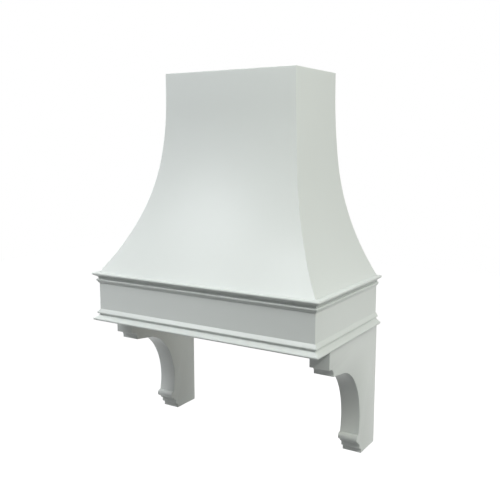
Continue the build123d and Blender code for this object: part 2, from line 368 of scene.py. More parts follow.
def recessShadeGroup():
    # Painted shade in grooves and inner corners, where less light gets in: the mask is at its most deep
    # inside them
    inputs = {"Reach": ("Float", 0.008), "Share": ("Float", 0.3)}
    tree, given, result = newGroup("recessShade", inputs, {"Mask": "Float"})
    occlusion = addNode(tree, "ShaderNodeAmbientOcclusion", {"Distance": given["Reach"]}, samples=16)
    deep = remap(tree, occlusion.outputs["AO"], 0.9, 0.3)
    setInput(tree, result["Mask"], calc(tree, "MULTIPLY", deep, given["Share"]))
    return tree


paintFilm = paintFilmGroup()
recessShade = recessShadeGroup()
timber = timberGroup()
plyEdge = plyEdgeGroup()
rubbedEdge = rubbedEdgeGroup()
shopDust = shopDustGroup()

# materials: turn is how Object coordinates are turned so that the grain runs along X

grainTurns = {"X": (0, 0, 0), "Y": (0, 0, -90), "Z": (0, 90, 0)}


def newMaterial(name, turn=(0, 0, 0)):
    material = bpy.data.materials.new(name)
    material.use_nodes = True
    tree = material.node_tree
    place = addNode(tree, "ShaderNodeTexCoord").outputs["Object"]
    angles = [math.radians(angle) for angle in turn]
    turned = addNode(tree, "ShaderNodeMapping", {"Vector": place, "Rotation": angles}).outputs[0]
    return material, tree, tree.nodes["Principled BSDF"], turned


def setBump(tree, shader, height):
    bump = addNode(tree, "ShaderNodeBump", {"Height": height, "Strength": 1.0, "Distance": 1.0})
    setInput(tree, shader.inputs["Normal"], bump.outputs[0])


paint = {
    "colour": (0.765, 0.80, 0.775, 1),
    "cloud": 0.006,
    "peelDepth": 0.0000015,
    "sheen": (0.28, 0.31),
    "specular": 0.35,
    "grainDepth": 0.000001,
    "edgeTone": (0.79, 0.815, 0.79, 1),
    "edgeRadius": 0.0015,
    "edgeShare": 0.5,
    # painted shade: a darker paint colour laid into grooves and inner corners, where less light gets in
    "recessTone": (0.36, 0.38, 0.36, 1),
    "recessReach": 0.007,
    "recessShare": 0.55,
}


def rubbedMask(tree, place, finish):
    values = {"radius": finish["edgeRadius"], "share": finish["edgeShare"]}
    return useGroup(tree, rubbedEdge, vector=place, **values)["Mask"]


def paintedFinish(name, turn, grainDepth):
    material, tree, shader, place = newMaterial(name, turn)
    film = useGroup(
        tree,
        paintFilm,
        vector=place,
        colour=paint["colour"],
        cloud=paint["cloud"],
        peelDepth=paint["peelDepth"],
        grainDepth=grainDepth,
        sheenLow=paint["sheen"][0],
        sheenHigh=paint["sheen"][1],
    )
    shader.inputs["Specular IOR Level"].default_value = paint["specular"]
    edge = rubbedMask(tree, place, paint)
    # Painted shade: the colour is darkened in grooves and inner corners, where less light gets in. The rubbed
    # edges are the paint's wear.
    recess = useGroup(tree, recessShade, reach=paint["recessReach"], share=paint["recessShare"])["Mask"]
    worn = mixColour(tree, edge, film["Colour"], paint["edgeTone"])
    setInput(tree, shader.inputs["Base Color"], mixColour(tree, recess, worn, paint["recessTone"]))
    setInput(tree, shader.inputs["Roughness"], film["Roughness"])
    setBump(tree, shader, film["Height"])
    return material


dust = {"tone": (0.72, 0.66, 0.55, 1), "share": 0.25}


def dusted(tree, place, colour):
    settled = useGroup(tree, shopDust, vector=place, share=dust["share"])["Mask"]
    return mixColour(tree, settled, colour, dust["tone"])


def timberFinish(name, turn, pale, dark, streak, **settings):
    material, tree, shader, place = newMaterial(name, turn)
    wood = useGroup(tree, timber, vector=place, pale=pale, dark=dark, streak=streak, **settings)
    setInput(tree, shader.inputs["Base Color"], dusted(tree, place, wood["Colour"]))
    setInput(tree, shader.inputs["Roughness"], wood["Roughness"])
    setBump(tree, shader, wood["Height"])
    return material


def sheetFinish(name, turn, pale, dark, longEdge, crossEdge, veneer, **settings):
    # Plywood: a timber face with its veneers showing on the edges
    material, tree, shader, place = newMaterial(name, turn)
    wood = useGroup(tree, timber, vector=place, pale=pale, dark=dark, streak=dark, **settings)
    normal = addNode(tree, "ShaderNodeTexCoord").outputs["Normal"]
    angles = [math.radians(angle) for angle in turn]
    facing = {"Vector": normal, "Rotation": angles}
    turned = addNode(tree, "ShaderNodeMapping", facing, vector_type="NORMAL").outputs[0]
    edge = useGroup(tree, plyEdge, vector=place, normal=turned, veneer=veneer, long=longEdge, cross=crossEdge)
    face = mixColour(tree, edge["Mask"], wood["Colour"], edge["Colour"])
    setInput(tree, shader.inputs["Base Color"], dusted(tree, place, face))
    setInput(tree, shader.inputs["Roughness"], wood["Roughness"])
    setBump(tree, shader, blend(tree, edge["Mask"], wood["Height"], edge["Height"]))
    return material


zinc = {
    "dark": (0.50, 0.51, 0.50, 1),
    "pale": (0.66, 0.66, 0.63, 1),
    "edgeTone": (0.78, 0.78, 0.76, 1),
    "edgeRadius": 0.0006,
    "edgeShare": 0.7,
    "spangleScale": 260.0,
    "spangleDepth": 0.00001,
}


def zincFinish():
    material, tree, shader, place = newMaterial("zincSteel")
    spangle = noise(tree, place, zinc["spangleScale"], 3.0, 0.6)
    tone = mixColour(tree, remap(tree, spangle, 0.35, 0.65), zinc["dark"], zinc["pale"])
    edge = rubbedMask(tree, place, zinc)
    setInput(tree, shader.inputs["Base Color"], mixColour(tree, edge, tone, zinc["edgeTone"]))
    setInput(tree, shader.inputs["Roughness"], remap(tree, spangle, 0.3, 0.7, 0.28, 0.48))
    shader.inputs["Metallic"].default_value = 1.0
    setBump(tree, shader, calc(tree, "MULTIPLY", spangle, zinc["spangleDepth"]))
    return material


poplarTones = {"pale": (0.66, 0.56, 0.37, 1), "dark": (0.48, 0.38, 0.22, 1), "streak": (0.36, 0.35, 0.21, 1)}
birchTones = {
    "pale": (0.74, 0.61, 0.41, 1),
    "dark": (0.55, 0.41, 0.25, 1),
    "longEdge": (0.68, 0.53, 0.34, 1),
    "crossEdge": (0.36, 0.24, 0.13, 1),
}
bendingTones = {
    "pale": (0.55, 0.36, 0.23, 1),
    "dark": (0.36, 0.21, 0.13, 1),
    "longEdge": (0.52, 0.36, 0.22, 1),
    "crossEdge": (0.28, 0.17, 0.10, 1),
}

skinPaint = paintedFinish("skinPaint", grainTurns["X"], 0.0)
trimPaint = {
    axis: paintedFinish("trimPaint" + axis, turn, paint["grainDepth"])
    for axis, turn in grainTurns.items()
}
poplarSettings = {"streakShare": 0.55, "ringWidth": 0.0042, "ringContrast": 0.35}
poplar = {
    axis: timberFinish("poplar" + axis, turn, **poplarTones, **poplarSettings)
    for axis, turn in grainTurns.items()
}
birchSettings = {"streakShare": 0.15, "ringWidth": 0.019, "ringContrast": 0.3, "poreContrast": 0.25}
sheetTurns = {"FlatX": (0, 0, 0), "FlatY": (0, 0, -90), "UprightX": (90, 0, 0), "UprightY": (90, 0, -90)}
birchPly = {
    name: sheetFinish("birchPly" + name, turn, **birchTones, veneer=0.00146, **birchSettings)
    for name, turn in sheetTurns.items()
}
bendingSettings = {"streakShare": 0.3, "ringWidth": 0.023, "ringContrast": 0.35, "poreContrast": 0.7}
bendingPly = {
    name: sheetFinish("bendingPly" + name, turn, **bendingTones, veneer=0.0016, **bendingSettings)
    for name, turn in {"Front": (90, 0, 0), "Side": (90, 0, -90)}.items()
}
zincSteel = zincFinish()

# body: three bent skins over one rule

bodySkins = {
    "thickness": 0.0095,
    "hipEase": 0.0014,
    "levels": 90,
    "side": {"top": 0.2757, "start": 0.8720, "upperR": 2.240, "join": 0.6065, "base": halfWidth},
    "front": {"top": 0.3090, "start": 0.7896, "upperR": 1.014, "join": 0.2797, "base": apronDepth},
}
flareLabels = ("Top", "Start", "Upper Radius", "Join", "Lower Radius", "Lower Reach", "Lower Height")


def flareValues(flare):
    # Plumb down to start, an arc down to join, then a tangent arc that lands flush on the apron
    turn = math.asin((flare["start"] - flare["join"]) / flare["upperR"])
    joinReach = flare["top"] + flare["upperR"] * (1 - math.cos(turn))
    run = flare["base"] - joinReach
    drop = flare["join"] - apronHeight
    lowerR = (run**2 + drop**2) / (2 * (run * math.cos(turn) - drop * math.sin(turn)))
    lowerReach = joinReach + lowerR * math.cos(turn)
    lowerHeight = flare["join"] + lowerR * math.sin(turn)
    values = (flare["top"], flare["start"], flare["upperR"], flare["join"], lowerR, lowerReach, lowerHeight)
    return dict(zip(flareLabels, values))


def circleReach(tree, radius, rise):
    # Half chord of a circle at a height above or below its centre
    squares = [calc(tree, "MULTIPLY", value, value) for value in (radius, rise)]
    return calc(tree, "SQRT", calc(tree, "SUBTRACT", *squares))


def flareTree():
    # Reach of a flare at a height, moved inwards by inset
    inputs = {label: ("Float", 0.0) for label in ("Height", "Inset") + flareLabels}
    tree, given, result = newTree("flareReach", "GeometryNodeTree", inputs, {"Reach": "Float"})
    top, start, upperR, join, lowerR, lowerReach, lowerHeight = (given[label] for label in flareLabels)
    height, inset = given["Height"], given["Inset"]
    upperOuter = calc(tree, "ADD", upperR, inset)
    drop = calc(tree, "MAXIMUM", calc(tree, "SUBTRACT", start, height), 0.0)
    upper = calc(tree, "SUBTRACT", calc(tree, "ADD", top, upperR), circleReach(tree, upperOuter, drop))
    lowerOuter = calc(tree, "ADD", lowerR, inset)
    rise = calc(tree, "SUBTRACT", lowerHeight, height)
    lower = calc(tree, "SUBTRACT", lowerReach, circleReach(tree, lowerOuter, rise))
    growth = calc(tree, "DIVIDE", upperOuter, upperR)
    joinDrop = calc(tree, "MULTIPLY", calc(tree, "SUBTRACT", start, join), growth)
    isUpper = calc(tree, "GREATER_THAN", height, calc(tree, "SUBTRACT", start, joinDrop))
    setInput(tree, result["Reach"], blend(tree, isUpper, lower, upper))
    return tree


def markArrises(tree, geometry, isArris):
    # Edges that the Bevel after the tree eases
    stored = {"Geometry": geometry, "Name": "bevel_weight_edge", "Value": isArris}
    settings = {"data_type": "FLOAT", "domain": "EDGE"}
    return addNode(tree, "GeometryNodeStoreNamedAttribute", stored, **settings).outputs[0]


def captured(tree, geometry, value, kind="FLOAT", domain="POINT"):
    # The geometry with the value it has here, and that value to read after the geometry has changed
    capture = addNode(tree, "GeometryNodeCaptureAttribute", domain=domain)
    capture.capture_items.new(kind, "Kept")
    setInput(tree, capture.inputs["Geometry"], geometry)
    setInput(tree, capture.inputs["Kept"], value)
    return capture.outputs["Geometry"], capture.outputs["Kept"]


def finishTree(tree, result, geometry, finish, inner=None):
    # Realized and painted, with the faces that inner selects in a finish of their own
    realized = addNode(tree, "GeometryNodeRealizeInstances", {"Geometry": geometry}).outputs[0]
    painted = addNode(tree, "GeometryNodeSetMaterial", {"Geometry": realized, "Material": finish}).outputs[0]
    if inner:
        selected = {"Geometry": painted, "Selection": inner[0], "Material": inner[1]}
        painted = addNode(tree, "GeometryNodeSetMaterial", selected).outputs[0]
    setInput(tree, result["Geometry"], painted)


def placeParts(tree):
    place = addNode(tree, "GeometryNodeInputPosition").outputs[0]
    parts = separate(tree, place)
    return parts["X"], parts["Y"], parts["Z"]


def bentSkinTree():
    # A skin in the front's own place: it bends along one flare and ends along the other
    inputs = {
        "Thickness": ("Float", 0.01),
        "Across Inset": ("Float", 0.0),
        "Across From": ("Float", -1.0),
        "Across To": ("Float", 1.0),
        "Low": ("Float", 0.0),
        "High": ("Float", 1.0),
        "Levels": ("Int", 10),
        "Ease Ends": ("Float", 1.0),
        "Finish": ("Material", None),
        "Inner Finish": ("Material", None),
    }
    inputs.update({f"{role} {label}": ("Float", 0.0) for role in ("Bend", "Across") for label in flareLabels})
    tree, given, result = newTree("bentSkin", "GeometryNodeTree", inputs, {"Geometry": "Geometry"})
    counts = {"Size": (1, 1, 1), "Vertices X": 2, "Vertices Y": 2, "Vertices Z": given["Levels"]}
    blank = addNode(tree, "GeometryNodeMeshCube", counts).outputs["Mesh"]
    x, y, z = placeParts(tree)
    height = blend(tree, calc(tree, "ADD", z, 0.5), given["Low"], given["High"])
    inset = calc(tree, "MULTIPLY", calc(tree, "ADD", y, 0.5), given["Thickness"])
    across = blend(tree, calc(tree, "ADD", x, 0.5), given["Across From"], given["Across To"])
    rule = flareTree()
    reaches = []
    for role, insetHere in (("Bend", inset), ("Across", given["Across Inset"])):
        values = {label: given[f"{role} {label}"] for label in flareLabels}
        group = addNode(tree, "GeometryNodeGroup", node_tree=rule)
        for label, value in {"Height": height, "Inset": insetHere, **values}.items():
            setInput(tree, group.inputs[label], value)
        reaches.append(group.outputs["Reach"])
    reachY, reachX = calc(tree, "MULTIPLY", reaches[0], -1.0), calc(tree, "MULTIPLY", across, reaches[1])
    bent = combine(tree, X=reachX, Y=reachY, Z=height)
    nearFace, nearRim = 0.49, 0.4999  # the blank is a cube that reaches 0.5 each way
    nearEnd = calc(tree, "GREATER_THAN", calc(tree, "ABSOLUTE", x), nearFace)
    easedEnd = calc(tree, "MULTIPLY", nearEnd, given["Ease Ends"])
    isRim = calc(tree, "GREATER_THAN", z, nearRim)
    isOuter = calc(tree, "LESS_THAN", y, -nearFace)
    marked = markArrises(tree, blank, calc(tree, "MULTIPLY", isOuter, calc(tree, "MAXIMUM", isRim, easedEnd)))
    isInner = addNode(tree, "FunctionNodeCompare", {0: y, 1: nearFace}, operation="GREATER_THAN").outputs[0]
    kept, wasInner = captured(tree, marked, isInner, "BOOLEAN", "FACE")
    shaped = addNode(tree, "GeometryNodeSetPosition", {"Geometry": kept, "Position": bent}).outputs[0]
    finishTree(tree, result, shaped, given["Finish"], (wasInner, given["Inner Finish"]))
    return tree


def makeBody():
    tree = bentSkinTree()
    sideFlare, frontFlare = flareValues(bodySkins["side"]), flareValues(bodySkins["front"])
    common = {
        "Thickness": bodySkins["thickness"],
        "Low": apronHeight,
        "High": bodyTop,
        "Levels": bodySkins["levels"],
        "Finish": skinPaint,
    }

    def skin(name, node, bendFlare, acrossFlare, span, inset, turn):
        values = {f"Bend {label}": value for label, value in bendFlare.items()}
        values.update({f"Across {label}": value for label, value in acrossFlare.items()})
        values.update({"Across From": span[0], "Across To": span[1], "Across Inset": inset})
        inner = bendingPly["Side" if inset else "Front"]
        values.update(common, **{"Ease Ends": 0.0 if inset else 1.0, "Inner Finish": inner})
        mesh = grown(tree, name, values, arris=bodySkins["hipEase"])
        addPiece(name, mesh, "painted_wood", node, turn=turn)

    lap = bodySkins["thickness"]  # the front skin laps over the side skins' edges
    skin("bodyFront", "front_panel", frontFlare, sideFlare, (-1.0, 1.0), 0.0, 0)
    skin("bodyRight", "right_side_panel", sideFlare, frontFlare, (-1.0, 0.0), lap, 90)
    skin("bodyLeft", "left_side_panel", sideFlare, frontFlare, (0.0, 1.0), lap, -90)


makeBody()
print("body skins bent")

# apron boards and mouldings: one mitred run

mitredRuns = {
    "cornerEase": 0.0017,
    "easeSteps": 4,
    "boardThickness": 0.019,
    "innerShare": 0.95,  # past this share of the thickness a face is the board's inner one
}

mouldingShape = {
    "noseR": 0.0050,
    "noseFlat": 0.0153,
    "slope": 32.8,  # degrees
    "coveR": 0.0070,
    "waist": 0.0028,
    "quirk": 0.0252,
    "beadR": 0.0044,
    "beadFlat": 0.0018,
    "bevel": 53.4,
    "arcSteps": 10,
}


def mouldingOutline():
    # x is the projection from the apron, y the distance down from the moulding's flat edge
    m = mouldingShape
    slope, bevel = math.radians(m["slope"]), math.radians(m["bevel"])
    nose = arcPoints((m["noseFlat"], m["noseR"]), (m["noseR"],) * 2, -90, 90 - m["slope"], m["arcSteps"])
    coveX = m["waist"] + m["coveR"] * (1 - math.sin(slope))
    coveY = nose[-1].y + (nose[-1].x - coveX) * math.tan(slope)
    coveCentre = (m["waist"] + m["coveR"], coveY + m["coveR"] * math.cos(slope))
    cove = arcPoints(coveCentre, (m["coveR"],) * 2, -90 - m["slope"], -180, m["arcSteps"])
    beadCentre = (m["waist"] + m["beadFlat"], m["quirk"] + m["beadR"])
    bead = arcPoints(beadCentre, (m["beadR"],) * 2, -90, 90 - m["bevel"], m["arcSteps"])
    bevelEnd = (0, bead[-1].y + bead[-1].x * math.tan(bevel))
    return [(0, 0)] + nose + cove + [(m["waist"], m["quirk"])] + bead + [bevelEnd]


def mitredRunTree():
    # A profile swept along X. At a mitred end the arrises are rounded off over the ease, and the run
    # is cut back or carried on by the profile's projection.
    inputs = {
        "Profile": ("Object", None),
        "Length": ("Float", 1.0),
        "Start Mitre": ("Float", 1.0),
        "End Mitre": ("Float", 1.0),
        "Ease": ("Float", 0.001),
        "Steps": ("Int", 4),
        "Inner From": ("Float", 1.0),
        "Finish": ("Material", None),
        "Inner Finish": ("Material", None),
    }
    tree, given, result = newTree("mitredRun", "GeometryNodeTree", inputs, {"Geometry": "Geometry"})
    ease, steps, length = given["Ease"], given["Steps"], given["Length"]
    half = calc(tree, "ADD", steps, 1.0)
    whole = calc(tree, "MULTIPLY", half, 2.0)
    line = addNode(tree, "GeometryNodeCurvePrimitiveLine").outputs[0]
    path = addNode(tree, "GeometryNodeResampleCurve", {"Curve": line, "Count": whole}).outputs[0]
    index = addNode(tree, "GeometryNodeInputIndex").outputs[0]
    isEnd = calc(tree, "GREATER_THAN", index, calc(tree, "SUBTRACT", half, 0.5))
    indexFromEnd = calc(tree, "SUBTRACT", calc(tree, "SUBTRACT", whole, 1.0), index)
    along = calc(tree, "DIVIDE", blend(tree, isEnd, index, indexFromEnd), steps)
    mitre = blend(tree, isEnd, given["Start Mitre"], given["End Mitre"])
    angle = calc(tree, "MULTIPLY", calc(tree, "SUBTRACT", 1.0, along), math.pi / 4)
    roundGap = calc(tree, "MULTIPLY", ease, calc(tree, "SUBTRACT", 1.0, calc(tree, "SINE", angle)))
    gap = blend(tree, mitre, calc(tree, "MULTIPLY", ease, along), roundGap)
    fallen = calc(tree, "MULTIPLY", ease, calc(tree, "SUBTRACT", 1.0, calc(tree, "COSINE", angle)))
    station = blend(tree, isEnd, gap, calc(tree, "SUBTRACT", length, gap))
    stationPlace = combine(tree, X=station)
    rail = addNode(tree, "GeometryNodeSetPosition", {"Geometry": path, "Position": stationPlace}).outputs[0]
    carried = calc(tree, "MULTIPLY", mitre, blend(tree, isEnd, -1.0, 1.0))
    rail, carryHere = captured(tree, rail, carried)
    rail, fallHere = captured(tree, rail, calc(tree, "MULTIPLY", fallen, mitre))
    profile = addNode(tree, "GeometryNodeObjectInfo", {"Object": given["Profile"]}).outputs["Geometry"]
    sweep = {"Curve": rail, "Profile Curve": profile, "Fill Caps": True}
    swept = addNode(tree, "GeometryNodeCurveToMesh", sweep).outputs[0]
    y = placeParts(tree)[1]
    carry = calc(tree, "MULTIPLY", calc(tree, "MULTIPLY", y, -1.0), carryHere)
    offset = combine(tree, X=carry, Y=fallHere)
    shaped = addNode(tree, "GeometryNodeSetPosition", {"Geometry": swept, "Offset": offset}).outputs[0]
    isInner = addNode(tree, "FunctionNodeCompare", {0: y, 1: given["Inner From"]}, operation="GREATER_THAN")
    finishTree(tree, result, shaped, given["Finish"], (isInner.outputs[0], given["Inner Finish"]))
    return tree


def makeRuns():
    tree = mitredRunTree()
    moulding = mouldingOutline()
    flipped = [(x, -y) for x, y in moulding]
    board = mitredRuns["boardThickness"]
    boardOutline = [(0, 0), (0, -apronHeight), (-board, -apronHeight), (-board, 0)]
    profiles = {
        "upperMoulding": ("upper_moulding", outlineCurve("upperProfile", moulding), apronHeight),
        "lowerMoulding": ("lower_moulding", outlineCurve("lowerProfile", flipped), 0.0),
        "apron": ("apron", outlineCurve("boardProfile", boardOutline), 0.0),
    }
    sides = {
        "Front": ("front", 2 * halfWidth, 1.0, 1.0, (-halfWidth, -apronDepth), 0),
        "Right": ("right", apronDepth, 1.0, 0.0, (-apronDepth, -halfWidth), 90),
        "Left": ("left", apronDepth, 0.0, 1.0, (0.0, -halfWidth), -90),
    }
    for pieceName, (node, profile, level) in profiles.items():
        for side, (nodeSide, length, startMitre, endMitre, start, turn) in sides.items():
            values = {
                "Profile": profile,
                "Length": length,
                "Start Mitre": startMitre,
                "End Mitre": endMitre,
                "Ease": mitredRuns["cornerEase"],
                "Steps": mitredRuns["easeSteps"],
                "Inner From": board * mitredRuns["innerShare"],
                "Finish": trimPaint["Y" if turn else "X"],
                "Inner Finish": birchPly["UprightY" if turn else "UprightX"],
            }
            mesh = grown(tree, pieceName + side, values)
            mesh.transform(Matrix.Translation((*start, level)))
            addPiece(pieceName + side, mesh, "painted_wood", f"{node}_{nodeSide}", turn=turn)
        bpy.data.objects.remove(profile)


makeRuns()
print("apron boards and mouldings run")

# corbels: a sawn outline, given its thickness

corbelShape = {
    "width": 0.074,
    "outerX": 0.463,
    "height": 0.4665,
    "blockReach": 0.407,
    "blockHeight": 0.0693,
    "blockStep": 0.008,
    "blockCove": 0.0255,
    "coveFoot": 0.100,
    "archStart": 0.300,
    "archCentre": (0.314, -0.324),
    "archRadii": (0.1715, 0.215),
    "rollR": 0.014,
    "rollCentre": (0.1525, -0.4005),
    "footFillet": (0.1485, -0.4235),
    "footNeck": (0.136, -0.433),
    "footLip": (0.136, -0.445),
    "footBase": (0.1225, -0.4555),
    "archSteps": 48,
    "smallSteps": 10,
    "arris": 0.0009,
}


def hollowQuarter(start, end):
    # Concave quarter round that steps in from start down to end
    radii = (start[0] - end[0], start[1] - end[1])
    return arcPoints((start[0], end[1]), radii, 90, 180, corbelShape["smallSteps"])


def corbelOutline():
    # x is the reach from the wall, y the height
    c = corbelShape
    coveStart = (c["blockReach"] - c["blockStep"], -c["blockHeight"])
    coveEnd = (coveStart[0] - c["blockCove"], coveStart[1] - c["blockCove"])
    startAngle = math.degrees(math.acos((c["archStart"] - c["archCentre"][0]) / c["archRadii"][0]))
    rollTop = c["rollCentre"][1] + c["rollR"]
    endAngle = 180 + math.degrees(math.asin((c["archCentre"][1] - rollTop) / c["archRadii"][1]))
    arch = arcPoints(c["archCentre"], c["archRadii"], startAngle, endAngle, c["archSteps"])
    roll = arcPoints(c["rollCentre"], (c["rollR"],) * 2, 90, -90, 2 * c["smallSteps"])
    points = [(0, 0), (c["blockReach"], 0), (c["blockReach"], -c["blockHeight"])]
    points += hollowQuarter(coveStart, coveEnd) + [(coveEnd[0], -c["coveFoot"])] + arch + roll
    points += [(c["footFillet"][0], roll[-1].y)] + hollowQuarter(c["footFillet"], c["footNeck"])
    points += hollowQuarter(c["footLip"], c["footBase"])
    points += [(c["footBase"][0], -c["height"]), (0, -c["height"])]
    return points


corbelMiddle = corbelShape["outerX"] - corbelShape["width"] / 2

keyholeFixing = {
    "level": -0.400,
    "plate": (0.016, 0.044, 0.002),
    "plateCorner": 0.0018,
    "holeR": 0.005,
    "slotR": 0.0026,
    "slotRise": 0.014,
    "pocketR": 0.006,
    "pocketDepth": 0.012,
    "screwPitch": 0.0354,
    "screwR": 0.0014,
    "sinkR": 0.0028,
}

corbelScrewHoles = {"radius": 0.002, "depth": 0.039, "x": 0.4096, "reaches": (0.120, 0.350)}


def joinAll(tree, parts):
    joined = addNode(tree, "GeometryNodeJoinGeometry")
    for part in parts:
        tree.links.new(part, joined.inputs[0])
    return joined.outputs[0]


def moved(tree, geometry, place=(0, 0, 0), turn=(0, 0, 0)):
    move = {"Geometry": geometry, "Translation": place, "Rotation": turn}
    return addNode(tree, "GeometryNodeTransform", move).outputs[0]


def cutAway(tree, solid, cutters):
    cut = addNode(tree, "GeometryNodeMeshBoolean", {"Mesh 1": solid}, operation="DIFFERENCE", solver="EXACT")
    for cutter in cutters:
        tree.links.new(cutter, cut.inputs["Mesh 2"])
    return cut.outputs["Mesh"]


def thickened(tree, curve, thickness):
    # A closed outline filled and given a thickness along Z
    face = addNode(tree, "GeometryNodeFillCurve", {"Curve": curve}, mode="NGONS").outputs[0]
    lift = {"Mesh": face, "Offset": (0, 0, 1), "Offset Scale": thickness, "Individual": False}
    raised = addNode(tree, "GeometryNodeExtrudeMesh", lift).outputs["Mesh"]
    base = addNode(tree, "GeometryNodeFlipFaces", {"Mesh": face}).outputs[0]
    weld = {"Geometry": joinAll(tree, (raised, base)), "Distance": 1e-6}
    return addNode(tree, "GeometryNodeMergeByDistance", weld).outputs[0]


def roundBar(tree, radius, length, place, turn=(0, 0, 0)):
    shape = {"Vertices": 32, "Radius": radius, "Depth": length}
    return moved(tree, addNode(tree, "GeometryNodeMeshCylinder", shape).outputs["Mesh"], place, turn)


def squareBar(tree, size, place):
    return moved(tree, addNode(tree, "GeometryNodeMeshCube", {"Size": size}).outputs["Mesh"], place)


def keyholeBars(tree, holeR, slotR, rise, length):
    # Cutters of a keyhole along Z: a round hole, the slot that rises from it, and the slot's round end
    half = calc(tree, "MULTIPLY", rise, 0.5)
    low = combine(tree, Y=calc(tree, "MULTIPLY", half, -1.0))
    high = combine(tree, Y=half)
    width = calc(tree, "MULTIPLY", slotR, 2.0)
    size = combine(tree, X=width, Y=rise, Z=length)
    hole = roundBar(tree, holeR, length, low)
    return [hole, squareBar(tree, size, (0, 0, 0)), roundBar(tree, slotR, length, high)]


def sawnBlockTree():
    # An outline filled and given a thickness, with the arrises round both faces marked for easing. Its
    # wall side is let in for a keyhole plate, and its top is drilled for two screws.
    inputs = {
        "Outline": ("Object", None),
        "Thickness": ("Float", 0.05),
        "Plate Level": ("Float", 0.0),
        "Plate Size": ("Vector", (0.0, 0.0, 0.0)),
        "Pocket Radius": ("Float", 0.005),
        "Pocket Rise": ("Float", 0.01),
        "Pocket Depth": ("Float", 0.01),
        "Hole Radius": ("Float", 0.002),
        "Hole Depth": ("Float", 0.01),
        "Hole Side": ("Float", 0.0),
        "First Hole": ("Float", 0.1),
        "Second Hole": ("Float", 0.2),
        "Finish": ("Material", None),
    }
    tree, given, result = newTree("sawnBlock", "GeometryNodeTree", inputs, {"Geometry": "Geometry"})
    thickness = given["Thickness"]
    outline = addNode(tree, "GeometryNodeObjectInfo", {"Object": given["Outline"]}).outputs["Geometry"]
    block = thickened(tree, outline, thickness)
    middle = calc(tree, "MULTIPLY", thickness, 0.5)
    back = combine(tree, Y=given["Plate Level"], Z=middle)
    plateWidth, plateHeight, plateDepth = separate(tree, given["Plate Size"])
    blankSize = {"X": calc(tree, "MULTIPLY", plateDepth, 2.0), "Y": plateHeight, "Z": plateWidth}
    cutters = [squareBar(tree, combine(tree, **blankSize), back)]
    length = calc(tree, "MULTIPLY", given["Pocket Depth"], 2.0)
    pocketR = given["Pocket Radius"]
    pocket = joinAll(tree, keyholeBars(tree, pocketR, pocketR, given["Pocket Rise"], length))
    cutters.append(moved(tree, pocket, back, (0, math.pi / 2, 0)))
    for label in ("First Hole", "Second Hole"):
        place = combine(tree, X=given[label], Z=given["Hole Side"])
        depth = calc(tree, "MULTIPLY", given["Hole Depth"], 2.0)
        cutters.append(roundBar(tree, given["Hole Radius"], depth, place, (math.pi / 2, 0, 0)))
    for cutter in cutters:
        block = cutAway(tree, block, [cutter])
    z = placeParts(tree)[2]
    fromMiddle = calc(tree, "ABSOLUTE", calc(tree, "SUBTRACT", z, middle))
    isRim = calc(tree, "GREATER_THAN", fromMiddle, calc(tree, "MULTIPLY", thickness, 0.49))
    finishTree(tree, result, markArrises(tree, block, isRim), given["Finish"])
    return tree


def makeCorbels():
    tree = sawnBlockTree()
    outline = outlineCurve("corbelOutline", corbelOutline())
    values = {
        "Outline": outline,
        "Thickness": corbelShape["width"],
        "Plate Level": keyholeFixing["level"],
        "Plate Size": keyholeFixing["plate"],
        "Pocket Radius": keyholeFixing["pocketR"],
        "Pocket Rise": keyholeFixing["slotRise"],
        "Pocket Depth": keyholeFixing["pocketDepth"],
        "Hole Radius": corbelScrewHoles["radius"],
        "Hole Depth": corbelScrewHoles["depth"],
        "First Hole": corbelScrewHoles["reaches"][0],
        "Second Hole": corbelScrewHoles["reaches"][1],
        "Finish": trimPaint["Z"],
    }
    # Local x, y and z become -Y, Z and -X
    stand = Matrix(((0, 0, -1, 0), (-1, 0, 0, 0), (0, 1, 0, 0), (0, 0, 0, 1)))
    for name, node, outerX, side in (
        ("corbelRight", "right_corbel", corbelShape["outerX"], 1),
        ("corbelLeft", "left_corbel", corbelShape["width"] - corbelShape["outerX"], -1),
    ):
        values["Hole Side"] = outerX - side * corbelScrewHoles["x"]
        mesh = grown(tree, name, values, arris=corbelShape["arris"])
        mesh.transform(Matrix.Translation((outerX, 0, 0)) @ stand)
        addPiece(name, mesh, "painted_wood", node)
    bpy.data.objects.remove(outline)


makeCorbels()
print("corbels sawn")


def standAt(tree, result, places, piece, turn, finish):
    # One of the piece at every place
    inputs = {"Points": places, "Instance": piece, "Rotation": turn}
    placed = addNode(tree, "GeometryNodeInstanceOnPoints", inputs).outputs[0]
    finishTree(tree, result, placed, finish)


